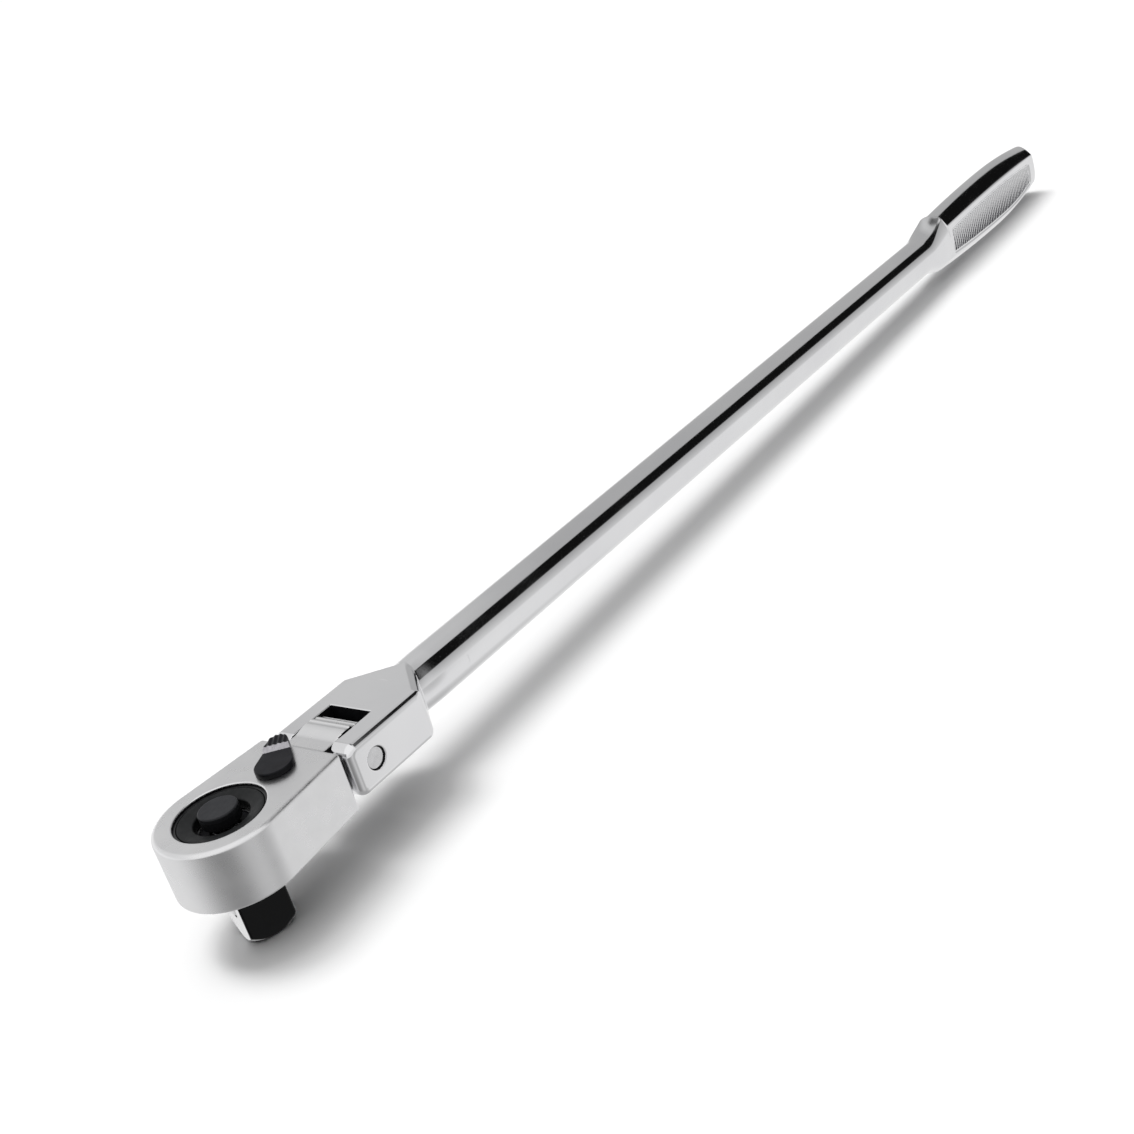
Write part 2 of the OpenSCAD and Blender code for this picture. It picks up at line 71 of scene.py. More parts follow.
HEAD_LOW, HEAD_HIGH = span("head_housing")
GEAR_LOW, GEAR_HIGH = span("drive_gear")
PLATE_LOW, PLATE_HIGH = span("cover_plate")
BUTTON_LOW, BUTTON_HIGH = span("release_button")
SPRING_LOW, SPRING_HIGH = span("button_spring")
BALL_LOW, BALL_HIGH = span("socket_ball")
LEVER_LOW, LEVER_HIGH = span("reversing_lever")
PIN_LOW, PIN_HIGH = span("hinge_pin")
HANDLE_LOW, HANDLE_HIGH = span("handle")
HINGE_X, _, AXIS_Z = joint_at("head_flex")
LEVER_X = joint_at("lever_turn")[0]
PAWL_X = joint_at("pawl_rock")[0]

# Head
HEAD_R = -HEAD_LOW[0]
HEAD_TOP = HEAD_HIGH[2]
KNUCKLE_R = HEAD_HIGH[0] - HINGE_X
REAR_X = 27.8
REAR_HALF_W = 14.3
REAR_CORNER_R = 1
TONGUE_HALF_W = 7.25
TONGUE_HALF_T = 7.2
INDEX_STEP = math.radians(15)
PLATE_BORE_R, LEDGE_Z = 11.64, 12.6
RING_GROOVE_R, RING_LOW, RING_HIGH = 12.3, 15, 15.86
GEAR_BORE_R, POCKET_LOW, POCKET_HIGH = 11.15, 3.45, 11.2
JOURNAL_BORE_R = 9.43
CLIP_ROOM_R, CLIP_ROOM_H = 4.6, 2.3

# Gear, square, button and lever
TEETH, TOOTH_ROOT_R, TOOTH_DEPTH = 72, 10.2, 0.7
RIM_LOW, RIM_HIGH = 3.6, 11.4
JOURNAL_R, HUB_R = 9.4, 6.4
SQUARE_HALF = 6.35
SQUARE_TURN = math.radians(-20)
RELEASE_BORE_R, RELEASE_BORE_LOW = 2.08, -15.2
SPRING_BORE_R, SPRING_FLOOR = 3.9, 6.2
SEAL_FLOOR_R, SEAL_Z, SEAL_HALF = 8.2, 1.8, 0.6
BALL_DROP, BALL_BORE_R = 8, 2.43
PLATE_HOLE_R = 7
LEVER_TURN = math.radians(38)
STEM_R = 3.1

# Handle
EAR_REACH, EAR_CORNER_R = 8.3, 3.4
YOKE_HALF_T = 7.5
SHOULDER_X, SHOULDER_SLOPE = 58.1, 1.1
SLOT_HALF_W, SLOT_X = 7.4, 46.4
INDEX_BORE_R, INDEX_BORE_END = 2.25, 61.4
HINGE_R = 3.0
SHAFT_R = 7.75
SEAM_X = 84.0
FLARE_X = 408
BUTT_X = FLARE_X + 132
BUTT_R = 5.0
BELLY_X = FLARE_X + 84
CREASE_X = FLARE_X + 20.5

# ---------------------------------------------------------------------------
# Distance fields (mm): negative inside. Joins and cuts take a fillet radius.
# ---------------------------------------------------------------------------


def join(a, b, r):
    return np.maximum(r, np.minimum(a, b)) - np.hypot(np.maximum(r - a, 0), np.maximum(r - b, 0))


def meet(a, b, r):
    return np.minimum(-r, np.maximum(a, b)) + np.hypot(np.maximum(r + a, 0), np.maximum(r + b, 0))


def carve(a, b, r):
    return meet(a, -b, r)


def between(v, low, high):
    return np.maximum(low - v, v - high)


def turned(u, v, angle):
    c, s = math.cos(angle), math.sin(angle)
    return c * u + s * v, -s * u + c * v


def ease(t):
    t = np.clip(t, 0, 1)
    return t * t * (3 - 2 * t)


def wave(v, pitch):
    """Rounded ridges along v, from 0 to 1."""
    return ease(np.abs((v / pitch) % 1 - 0.5) * 2)


CORNERS = np.array([(i & 1, i >> 1 & 1, i >> 2 & 1) for i in range(8)])
EDGES = [(0, 1), (2, 3), (4, 5), (6, 7), (0, 2), (1, 3), (4, 6), (5, 7), (0, 4), (1, 5), (2, 6), (3, 7)]


def slope(field, p, e=0.02):
    return np.stack([field(*(p + d).T) - field(*(p - d).T) for d in np.eye(3) * e], 1) / (2 * e)


def surface(field, low, high, step):
    """The field's zero surface as quads: one vertex in each cell it crosses, pulled onto the exact surface."""
    low = np.array(low, float)
    counts = [int(math.ceil((h - l) / step)) + 1 for l, h in zip(low, high)]
    grid = np.meshgrid(*[l + step * np.arange(n) for l, n in zip(low, counts)], indexing="ij")
    values = field(*grid)
    inside = values < 0
    nx, ny, nz = (n - 1 for n in counts)
    total = sum(inside[a:nx + a, b:ny + b, c:nz + c].astype(np.int8) for a, b, c in CORNERS)
    active = (total > 0) & (total < 8)
    cells = np.argwhere(active)
    index = np.full(active.shape, -1)
    index[active] = np.arange(len(cells))
    at = np.stack([values[tuple((cells + c).T)] for c in CORNERS], 1)
    p = np.zeros((len(cells), 3))
    hits = np.zeros(len(cells))
    for a, b in EDGES:
        crossed = (at[:, a] < 0) != (at[:, b] < 0)
        t = np.where(crossed, at[:, a] / np.where(crossed, at[:, a] - at[:, b], 1), 0)
        p += crossed[:, None] * (CORNERS[a] + t[:, None] * (CORNERS[b] - CORNERS[a]))
        hits += crossed
    p = low + step * (cells + p / hits[:, None])
    for _ in range(4):
        g = slope(field, p)
        p -= np.clip(field(*p.T), -step, step)[:, None] * g / np.maximum((g * g).sum(1), 0.3)[:, None]
    g = slope(field, p, 0.03)
    g /= np.maximum(np.linalg.norm(g, axis=1), 1e-9)[:, None]
    quads = []
    for a in range(3):
        u, w = (a + 1) % 3, (a + 2) % 3
        size = counts[a]
        first = np.take(inside, range(size - 1), a)
        edge = np.argwhere(first != np.take(inside, range(1, size), a))
        sides = edge[:, [u, w]]
        edge = edge[((sides > 0) & (sides < [counts[u] - 1, counts[w] - 1])).all(1)]

        def cell(du, dw):
            c = edge.copy()
            c[:, u] += du
            c[:, w] += dw
            return index[tuple(c.T)]

        q = np.stack([cell(-1, -1), cell(0, -1), cell(0, 0), cell(-1, 0)], 1)
        back = ~first[tuple(edge.T)]
        q[back] = q[back][:, ::-1]
        quads.append(q)
    return p, np.concatenate(quads).tolist(), g


def closed_rows(rows, columns):
    """Quads between neighbouring rows of points, each row closed on itself, and the grid of point numbers."""
    index = np.arange(rows * columns).reshape(rows, columns)
    after = np.roll(index, -1, 1)
    quads = np.stack([index[:-1], index[1:], after[1:], after[:-1]], -1).reshape(-1, 4)
    return quads.tolist(), index


def capped(rows, columns):
    """The same quads with a face over each end."""
    quads, index = closed_rows(rows, columns)
    return quads + [index[0].tolist(), index[-1].tolist()[::-1]]


def build(name, points, faces, normals=None):
    mesh = bpy.data.meshes.new(name)
    mesh.from_pydata((points * MM).tolist(), [], faces)
    mesh.shade_smooth()
    if normals is not None:
        mesh.normals_split_custom_set_from_vertices(normals.tolist())
    obj = bpy.data.objects.new(name, mesh)
    bpy.context.scene.collection.objects.link(obj)
    return obj


def piece(name, body, nodes, materials, shape, where=None):
    """A finished piece. shape is (points, faces) or (points, faces, normals), and where(x, y, z) says
    at a face's middle which of the materials it takes, 0 being the first."""
    points, faces = shape[:2]
    obj = build(name, points, faces, *shape[2:])
    for material in materials:
        obj.data.materials.append(material)
    if where is not None:
        middles = points[np.array([face[:4] for face in faces])].mean(1)
        obj.data.polygons.foreach_set("material_index", where(*middles.T).astype(np.int32))
    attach(obj, body)
    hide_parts(*nodes)
    return obj


# ---------------------------------------------------------------------------
# Materials
# ---------------------------------------------------------------------------


class Nodes:
    """A material's node tree, with short ways to add the textures used here."""

    def __init__(self, name, colour, metallic, roughness, **plain):
        self.material = bpy.data.materials.new(name)
        self.material.use_nodes = True
        self.tree = self.material.node_tree
        self.shader = self.tree.nodes["Principled BSDF"]
        self.set("Base Color", (*colour, 1))
        self.set("Metallic", metallic)
        self.set("Roughness", roughness)
        for key, value in plain.items():
            self.set(key.replace("_", " "), value)
        self.place = self.tree.nodes.new("ShaderNodeTexCoord").outputs["Object"]
        self.height = None

    def set(self, socket, value):
        self.shader.inputs[socket].default_value = value

    def node(self, kind):
        return self.tree.nodes.new(kind)

    def link(self, a, b):
        self.tree.links.new(a, b)

    def noise(self, scale, detail=4, rough=0.55, stretch=(1, 1, 1)):
        mapping = self.node("ShaderNodeMapping")
        mapping.inputs["Scale"].default_value = stretch
        self.link(self.place, mapping.inputs["Vector"])
        made = self.node("ShaderNodeTexNoise")
        made.inputs["Scale"].default_value = scale
        made.inputs["Detail"].default_value = detail
        made.inputs["Roughness"].default_value = rough
        self.link(mapping.outputs[0], made.inputs["Vector"])
        return made.outputs["Fac"]

    def spread(self, source, low, high, start=0.3, end=0.7):
        made = self.node("ShaderNodeMapRange")
        for key, value in (("From Min", start), ("From Max", end), ("To Min", low), ("To Max", high)):
            made.inputs[key].default_value = value
        self.link(source, made.inputs["Value"])
        return made.outputs["Result"]

    def roughness(self, source, low, high):
        self.link(self.spread(source, low, high), self.shader.inputs["Roughness"])

    def tint(self, source, dark, light):
        ramp = self.node("ShaderNodeValToRGB")
        for element, position, colour in zip(ramp.color_ramp.elements, (0.3, 0.7), (dark, light)):
            element.position = position
            element.color = (*colour, 1)
        self.link(source, ramp.inputs["Fac"])
        self.link(ramp.outputs["Color"], self.shader.inputs["Base Color"])

    def bump(self, source, strength, distance):
        made = self.node("ShaderNodeBump")
        made.inputs["Strength"].default_value = strength
        made.inputs["Distance"].default_value = distance
        self.link(source, made.inputs["Height"])
        if self.height is not None:
            self.link(self.height, made.inputs["Normal"])
        self.height = made.outputs["Normal"]
        self.link(self.height, self.shader.inputs["Normal"])

    def pits(self, scale, edge):
        """Small scattered pits: 0 on the plain surface and 1 in a pit."""
        made = self.node("ShaderNodeTexVoronoi")
        made.inputs["Scale"].default_value = scale
        self.link(self.place, made.inputs["Vector"])
        return self.spread(made.outputs["Distance"], 1, 0, edge * 0.4, edge)


def finish(name, colour, metallic, base, rough, tint, grain, strength, depth, **plain):
    """A surface finish. rough is (noise scale, detail, lowest, highest), tint (noise scale, detail, darkest,
    lightest) and grain the noise of the bump, which has this strength and this depth in metres."""
    made = Nodes(name, colour, metallic, base, **plain)
    made.roughness(made.noise(*rough[:2]), *rough[2:])
    made.tint(made.noise(*tint[:2]), *tint[2:])
    made.bump(made.noise(*grain), strength, depth)
    return made


def black(name, colour, base, specular, *rest):
    return finish(name, colour, 0, base, *rest, Specular_IOR_Level=specular)


# Metals
SATIN = finish(
    "satin_chrome", (0.78, 0.78, 0.79), 1, 0.3, (180, 3, 0.25, 0.34),
    (160, 3, (0.765, 0.765, 0.775), (0.79, 0.79, 0.795)), (5200, 2, 0.6), 0.03, 0.00002).material
POLISHED = finish(
    "polished_chrome", (0.80, 0.80, 0.81), 1, 0.08, (70, 4, 0.06, 0.12),
    (35, 3, (0.76, 0.76, 0.775), (0.81, 0.81, 0.82)), (90, 2, 0.4, (0.25, 1, 1)), 0.05, 0.0002)
# fine polishing lines along the handle
POLISHED.bump(POLISHED.noise(3800, 2, 0.6, (0.15, 1, 1)), 0.03, 0.00001)
POLISHED = POLISHED.material
KNURL_SHADE = finish(
    "knurl_shade", (0.10, 0.10, 0.11), 1, 0.35, (300, 4, 0.28, 0.42),
    (120, 3, (0.07, 0.07, 0.08), (0.14, 0.14, 0.15)), (5200, 2, 0.6), 0.10, 0.00002).material
# Painted highlight: a bright steel put on the drive square's ball face alone, for the light that face reflects
PAINTED_HIGHLIGHT = finish(
    "painted_highlight_steel", (0.80, 0.80, 0.81), 1, 0.2, (600, 4, 0.16, 0.28),
    (300, 3, (0.74, 0.74, 0.75), (0.83, 0.83, 0.84)), (2400, 3), 0.08, 0.00003).material
PIN_STEEL = finish(
    "pin_steel", (0.72, 0.72, 0.73), 1, 0.25, (900, 4, 0.18, 0.32),
    (420, 3, (0.66, 0.66, 0.67), (0.76, 0.76, 0.77)), (2600, 3), 0.12, 0.00003).material
BARE = finish(
    "bare_steel", (0.5, 0.5, 0.51), 1, 0.35, (700, 4, 0.26, 0.44),
    (300, 4, (0.42, 0.42, 0.43), (0.55, 0.55, 0.56)), (2400, 3), 0.15, 0.00003).material
BEARING = finish(
    "bearing_steel", (0.78, 0.78, 0.79), 1, 0.09, (900, 3, 0.06, 0.13),
    (260, 3, (0.72, 0.72, 0.73), (0.80, 0.80, 0.81)), (3000, 2), 0.04, 0.00001).material
SPRING = finish(
    "spring_steel", (0.16, 0.16, 0.17), 1, 0.35, (900, 4, 0.28, 0.42),
    (500, 4, (0.11, 0.11, 0.12), (0.20, 0.20, 0.21)), (3200, 3), 0.15, 0.00002).material
# Painted reflection: a lighter metal on the lever's ramp stands in for the bright band it reflects
LEVER_RAMP_SHEEN = finish(
    "lever_ramp_painted_sheen", (0.42, 0.41, 0.43), 0.8, 0.32, (900, 4, 0.26, 0.42),
    (700, 4, (0.34, 0.33, 0.35), (0.50, 0.49, 0.52)), (3600, 3), 0.2, 0.00003).material

# Blackened steels, rubber and a near black for painted shade
RING_BLACK = black(
    "black_ring_steel", (0.012, 0.012, 0.013), 0.4, 0.35, (900, 4, 0.32, 0.48),
    (500, 4, (0.008, 0.008, 0.009), (0.016, 0.016, 0.017)), (3200, 3), 0.15, 0.00002).material
# Painted shade: near black put in the head's bores and slot, on the gear inside the head, on the button's foot
# and in the yoke's slot and holes
PAINTED_SHADE = black(
    "painted_shade_black", (0.004, 0.004, 0.005), 0.55, 0.15, (900, 4, 0.45, 0.65),
    (500, 4, (0.003, 0.003, 0.004), (0.006, 0.006, 0.007)), (3600, 3), 0.2, 0.00003).material
GEAR_BLACK = black(
    "black_gear_steel", (0.007, 0.008, 0.010), 0.2, 0.16, (520, 4, 0.12, 0.24),
    (300, 4, (0.005, 0.0055, 0.007), (0.010, 0.011, 0.013)), (1600, 3), 0.08, 0.00003).material
BUTTON_BLACK = black(
    "black_button", (0.016, 0.0165, 0.019), 0.36, 0.16, (800, 4, 0.34, 0.5),
    (420, 4, (0.014, 0.0145, 0.017), (0.019, 0.0195, 0.022)), (4600, 3, 0.6), 0.16, 0.00003).material
RUBBER = black(
    "seal_rubber", (0.016, 0.016, 0.016), 0.6, 0.4, (900, 4, 0.52, 0.7),
    (500, 4, (0.012, 0.012, 0.012), (0.022, 0.022, 0.022)), (3600, 3), 0.2, 0.00003).material
OXIDE = black(
    "black_oxide", (0.009, 0.0095, 0.010), 0.42, 0.12, (700, 4, 0.38, 0.50),
    (380, 5, (0.006, 0.0065, 0.007), (0.013, 0.0135, 0.014)), (4200, 3, 0.6), 0.18, 0.00003)
OXIDE.bump(OXIDE.pits(1500, 0.22), 0.10, 0.00002)
OXIDE = OXIDE.material
LEVER_BLACK = black(
    "black_lever", (0.008, 0.008, 0.010), 0.32, 0.10, (760, 4, 0.28, 0.44),
    (380, 4, (0.005, 0.005, 0.0065), (0.010, 0.010, 0.0125)), (4200, 3, 0.6), 0.2, 0.00003)
LEVER_BLACK.bump(LEVER_BLACK.pits(1300, 0.2), 0.12, 0.00002)
LEVER_BLACK = LEVER_BLACK.material

# Small parts that keep their CAD shape
SMALL_PARTS = {
    "gear_seal_ring": RUBBER,
    "lever_seal_ring": RUBBER,
    "gear_thrust_washer": BARE,
    "release_pin": BARE,
    "pawl": BARE,
    "pawl_pin": BARE,
    "lever_clip": SPRING,
    "pawl_plunger": BEARING,
    "plunger_spring": SPRING,
    "index_ball": BEARING,
    "index_spring": SPRING,
    "plate_retaining_ring": RING_BLACK,
}
for node, material in SMALL_PARTS.items():
    mesh = frame["nodes"][node].data
    mesh.materials.clear()
    mesh.materials.append(material)

# ---------------------------------------------------------------------------
# Head
# ---------------------------------------------------------------------------

# Direction that the flat sides face: they touch the round front and run to the rear corners
CORNER = REAR_X - REAR_CORNER_R, REAR_HALF_W - REAR_CORNER_R
SIDE_TURN = math.atan2(*CORNER[::-1]) + math.acos((HEAD_R - REAR_CORNER_R) / math.hypot(*CORNER))


def head_plan(x, y):
    nx, ny = math.cos(SIDE_TURN), math.sin(SIDE_TURN)
    y = np.abs(y)
    flat = nx * x + ny * y - HEAD_R
    round_front = np.hypot(x, y) - HEAD_R
    side = np.where(ny * x - nx * y > 0, flat, round_front)
    return meet(side, x - REAR_X, 1.2)


def knuckle_profile(x, z):
    dx, dz = x - HINGE_X, z - AXIS_Z
    disc = np.hypot(dx, dz) - KNUCKLE_R
    nearest = np.clip(np.round(np.arctan2(dz, dx) / INDEX_STEP), -6, 6) * INDEX_STEP
    reach = KNUCKLE_R + 0.7
    groove = np.hypot(dx - reach * np.cos(nearest), dz - reach * np.sin(nearest)) - 1
    disc = carve(disc, groove, 0.12)
    slab = np.maximum(np.abs(dz) - TONGUE_HALF_T, dx)
    return join(disc, slab, 1.2)


def pocket_plan(x, y):
    """The pocket that the pawl rocks in, with room for the plunger behind it."""
    crescent = np.maximum(np.hypot(x, y) - 15.2, 7 - x)
    heel = np.maximum(between(x, 7, 17.2), np.abs(y) - 6.4)
    room = np.maximum(np.hypot(x - LEVER_X, y) - 4.8, x - LEVER_X)
    return np.minimum(np.minimum(crescent, heel), room)


def head(x, y, z):
    r = np.hypot(x, y)
    shell = meet(meet(head_plan(x, y), z - HEAD_TOP, 1.15), -z, 0.8)
    tongue = meet(np.maximum(knuckle_profile(x, z), 20 - x), np.abs(y) - TONGUE_HALF_W, 0.45)
    solid = join(shell, tongue, 1.1)
    lever_r = np.hypot(x - LEVER_X, y)
    solid = carve(solid, np.maximum(r - PLATE_BORE_R, LEDGE_Z - z), 0.32)
    for hole in (
        np.maximum(r - RING_GROOVE_R, between(z, RING_LOW, RING_HIGH)),
        np.maximum(r - GEAR_BORE_R, POCKET_LOW - z),
        np.maximum(pocket_plan(x, y), between(z, POCKET_LOW, POCKET_HIGH)),
        np.maximum(np.hypot(x - PAWL_X, y) - 1.2, between(z, 2.4, 13.6)),
    ):
        solid = np.maximum(solid, -hole)
    solid = carve(solid, r - JOURNAL_BORE_R, 0.25)
    solid = carve(solid, lever_r - STEM_R - 0.03, 0.25)
    solid = carve(solid, np.maximum(lever_r - CLIP_ROOM_R, z - CLIP_ROOM_H), 0.25)
    return carve(solid, np.hypot(x - HINGE_X, z - AXIS_Z) - HINGE_R - 0.03, 0.3)


def head_painted_shade(x, y, z):
    """Where the head is painted dark as shade: its bores, the tongue's cheeks and the knuckle's far side."""
    bores = (np.hypot(x, y) < PLATE_BORE_R + 0.11) & (z < HEAD_TOP - 0.4) & (z > 0.2)
    cheeks = (np.abs(np.abs(y) - TONGUE_HALF_W) < 0.1) & (x > REAR_X + 0.8)
    rear = (x > HINGE_X + 1) & (z < HEAD_TOP - 2.0)
    return bores | cheeks | rear


piece("head_shell", "head", ["head_housing"], [SATIN, PAINTED_SHADE],
      surface(head, HEAD_LOW - 0.6, HEAD_HIGH + 0.6, 0.25), head_painted_shade)


def cover(x, y, z):
    """Flat rim, then a shallow cone down to the rounded edge of the hole."""
    r = np.hypot(x, y)
    flange = np.maximum(r - PLATE_HIGH[0], between(z, PLATE_LOW[2], RING_LOW))
    boss = meet(meet(r - 10.8, z - PLATE_HIGH[2], 0.25), PLATE_LOW[2] - z, 0.1)
    cone_r, cone_drop = 10.1, 0.75
    slant = cone_drop / (cone_r - PLATE_HOLE_R)
    cone = np.maximum(r - cone_r, (PLATE_HIGH[2] - slant * (cone_r - r) - z) / 1.03)
    boss = carve(boss, cone, 0.1)
    return carve(np.minimum(flange, boss), r - PLATE_HOLE_R, 0.35)


piece("cover_disc", "head", ["cover_plate"], [OXIDE],
      surface(cover, PLATE_LOW - 0.5, PLATE_HIGH + 0.5, 0.15))

# ---------------------------------------------------------------------------
# Gear with its drive square, ball and push button
# ---------------------------------------------------------------------------


def gear(x, y, z):
    r = np.hypot(x, y)
    tooth = (np.arctan2(y, x) / (2 * math.pi) * TEETH) % 1
    tip = TOOTH_ROOT_R + 2 * TOOTH_DEPTH * np.abs(tooth - 0.5)
    teeth = meet(r - tip, between(z, RIM_LOW, RIM_HIGH), 0.1)
    journal = meet(r - JOURNAL_R, between(z, 0, 5), 0.3)
    hub = meet(r - HUB_R, between(z, 5, GEAR_HIGH[2]), 0.2)
    u, v = turned(x, y, SQUARE_TURN)
    square = meet(np.abs(u) - SQUARE_HALF, np.abs(v) - SQUARE_HALF, 0.7)
    bevel = (r - SQUARE_HALF - (z - GEAR_LOW[2])) / math.sqrt(2)
    square = meet(np.maximum(square, z - 1), GEAR_LOW[2] - z, 0.25)
    square = meet(square, bevel, 0.35)
    solid = np.minimum(np.minimum(teeth, journal), join(hub, square, 0.3))
    for hole in (
        np.maximum(r - RELEASE_BORE_R, RELEASE_BORE_LOW - z),
        np.maximum(r - SPRING_BORE_R, SPRING_FLOOR - z),
        np.maximum(SEAL_FLOOR_R - r, np.abs(z - SEAL_Z) - SEAL_HALF),
    ):
        solid = np.maximum(solid, -hole)
    ball_hole = np.maximum(np.hypot(v, z + BALL_DROP) - BALL_BORE_R, u)
    return carve(solid, ball_hole, 0.25)


def gear_regions(x, y, z):
    """Painted shade inside the head, a painted highlight of bright steel on the square's ball face, and black
    elsewhere.
    """
    u, _ = turned(x, y, SQUARE_TURN)
    ball_face = (u < 0.15 - SQUARE_HALF) & (z < -0.3)
    return np.where(z > 2.5, 1, np.where(ball_face, 2, 0))


piece("drive_gear_square", "drive", ["drive_gear"], [GEAR_BLACK, PAINTED_SHADE, PAINTED_HIGHLIGHT],
      surface(gear, GEAR_LOW - 0.6, GEAR_HIGH + 0.6, 0.2), gear_regions)


def button(x, y, z):
    """A cap with a slightly dished top, bored for the release pin."""
    r = np.hypot(x, y)
    top = BUTTON_HIGH[2] - 0.05 * (1 - (r / 5) ** 2)
    cap = meet(meet(r - BUTTON_HIGH[0], z - top, 0.45), BUTTON_LOW[2] - z, 0.2)
    return np.maximum(cap, -np.maximum(r - 2.05, z - 16))


# Painted shade: the foot of the button, down in the recess, is near black
def button_painted_shade(x, y, z):
    return z < BUTTON_HIGH[2] - 1.3


piece("push_button", "button", ["release_button"], [BUTTON_BLACK, PAINTED_SHADE],
      surface(button, BUTTON_LOW - 0.4, BUTTON_HIGH + 0.4, 0.12), button_painted_shade)


def coil(low, high, wire, turns, per_turn=48, sides=14):
    """A closed-end compression spring round the drive axis, as a tube of wire: points and faces."""
    share = np.linspace(0, 1, turns * per_turn + 1)
    # most of the last turn at each end lies nearly flat on its seat
    climb = np.interp(share, [0, 0.16, 0.84, 1], [0, 0.06, 0.94, 1])
    turn = 2 * math.pi * turns * share
    S, B = np.meshgrid(np.arange(share.size), np.arange(sides) / sides * 2 * math.pi, indexing="ij")
    reach = high[0] - wire + wire * np.cos(B)
    z = low[2] + wire + (high[2] - low[2] - 2 * wire) * climb[S] + wire * np.sin(B)
    points = np.stack([reach * np.cos(turn[S]), reach * np.sin(turn[S]), z], -1).reshape(-1, 3)
    return points, capped(*S.shape)


press = piece("button_coil_spring", "button", ["button_spring"], [SPRING],
              coil(SPRING_LOW, SPRING_HIGH, 0.4, 5))
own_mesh(press)

# ---------------------------------------------------------------------------
# Reversing lever
# ---------------------------------------------------------------------------

LEVER_BASE = HEAD_TOP + 0.1
RAMP_START, RAMP_END = 4.0, 5.4


def lever_top(u, v):
    """Height of the lever's upper face: a broad plate, a short ramp and a ribbed thumb tab."""
    rise = np.clip((u - RAMP_START) / (RAMP_END - RAMP_START), 0, 1)
    return LEVER_BASE + 1.55 + (1.15 - 0.25 * wave(v, 1.3)) * rise


def lever_outline(a, w, length=9.2, broad_r=5.0, tip_r=2.7):
    """Two circles of unlike size joined by straight sides: a runs from one centre to the other."""
    b = (broad_r - tip_r) / length
    c = math.sqrt(1 - b * b)
    t = a * c - w * b
    tip = np.where(t > length * c, np.hypot(a - length, w) - tip_r, a * b + w * c - broad_r)
    return np.where(t < 0, np.hypot(a, w) - broad_r, tip)


def lever(x, y, z):
    """Plate and tab on a stem with a seal groove, a clip groove and the plunger's bore."""
    u, v = turned(x - LEVER_X, y, LEVER_TURN)
    body = meet(lever_outline(u + 1.6, np.abs(v)), (z - lever_top(u, v)) * 0.8, 0.35)
    body = meet(body, LEVER_BASE - z, 0.15)
    r = np.hypot(u, v)
    stem = np.maximum(r - STEM_R, between(z, LEVER_LOW[2], LEVER_BASE + 0.5))
    solid = join(body, stem, 0.05)
    for hole in (
        np.maximum(2.05 - r, np.abs(z - 13.8) - 0.5),
        np.maximum(2.3 - r, between(z, 1.27, 1.93)),
        np.maximum(np.hypot(v, z - 7.3) - 1.13, u),
    ):
        solid = np.maximum(solid, -hole)
    return solid


# Where the painted reflection goes: the upper faces of the lever's ramp
def lever_ramp(x, y, z):
    u, _ = turned(x - LEVER_X, y, LEVER_TURN)
    return (between(u, RAMP_START, RAMP_END) < 0) & (z > LEVER_BASE + 1.2)


piece("reversing_lever_body", "lever", ["reversing_lever"], [LEVER_BLACK, LEVER_RAMP_SHEEN],
      surface(lever, LEVER_LOW - 0.6, LEVER_HIGH + 0.6, 0.15), lever_ramp)

# ---------------------------------------------------------------------------
# Handle: forked yoke, shaft and flattened grip
# ---------------------------------------------------------------------------

HALF_W = HANDLE_HIGH[1]
YOKE_LOW = np.array([HANDLE_LOW[0] - 0.6, -HALF_W - 0.6, AXIS_Z - 8.4])
YOKE_HIGH = np.array([SEAM_X, HALF_W + 0.6, AXIS_Z + 8.4])


def yoke(x, y, z):
    """The fork, its slanted shoulders and the start of the shaft, which is a little thinner there."""
    dx, dz = x - HINGE_X, z - AXIS_Z
    side_profile = meet(-EAR_REACH - dx, np.abs(dz) - YOKE_HALF_T, EAR_CORNER_R)
    shoulder = SHOULDER_SLOPE * (x - SHOULDER_X) + np.abs(y) - HALF_W
    plan = meet(np.abs(y) - HALF_W, shoulder / math.hypot(SHOULDER_SLOPE, 1), 1.2)
    block = meet(plan, side_profile, 2.2)
    shaft = np.maximum(np.hypot(y, dz) - SHAFT_R + 0.3 * (1 - ease((x - 63) / 12)), 60 - x)
    solid = join(block, shaft, 0.3)
    slot = np.maximum(np.abs(y) - SLOT_HALF_W, x - SLOT_X)
    solid = carve(solid, slot, 0.3)
    solid = carve(solid, np.hypot(dx, dz) - HINGE_R, 0.35)
    bore = np.maximum(np.hypot(y, dz) - INDEX_BORE_R, between(x, 40, INDEX_BORE_END))
    return np.maximum(solid, -bore)


# Painted shade in the fork's slot, round the hinge hole and in the index bore
def yoke_painted_shade(x, y, z):
    h = z - AXIS_Z
    in_slot = (np.abs(y) < SLOT_HALF_W + 0.05) & (x < SLOT_X + 0.1) & (np.abs(h) < YOKE_HALF_T - 0.25)
    in_hole = (np.hypot(x - HINGE_X, h) < HINGE_R + 0.25) & (np.abs(y) < HALF_W - 0.12)
    in_bore = np.hypot(y, h) < INDEX_BORE_R + 0.15
    return in_slot | in_hole | in_bore


piece("handle_yoke", "handle", ["handle"], [POLISHED, PAINTED_SHADE],
      surface(yoke, YOKE_LOW, YOKE_HIGH, 0.25), yoke_painted_shade)

# Angles of the surface normal from straight up, closer together round the corners
ANGLE = np.radians(np.unique(np.concatenate([
    np.linspace(0, 30, 12), np.linspace(30, 34, 4), np.linspace(34, 37, 4), np.linspace(37, 55, 10),
    np.linspace(55, 59, 4), np.linspace(59, 80, 9), np.linspace(80, 90, 28)])))
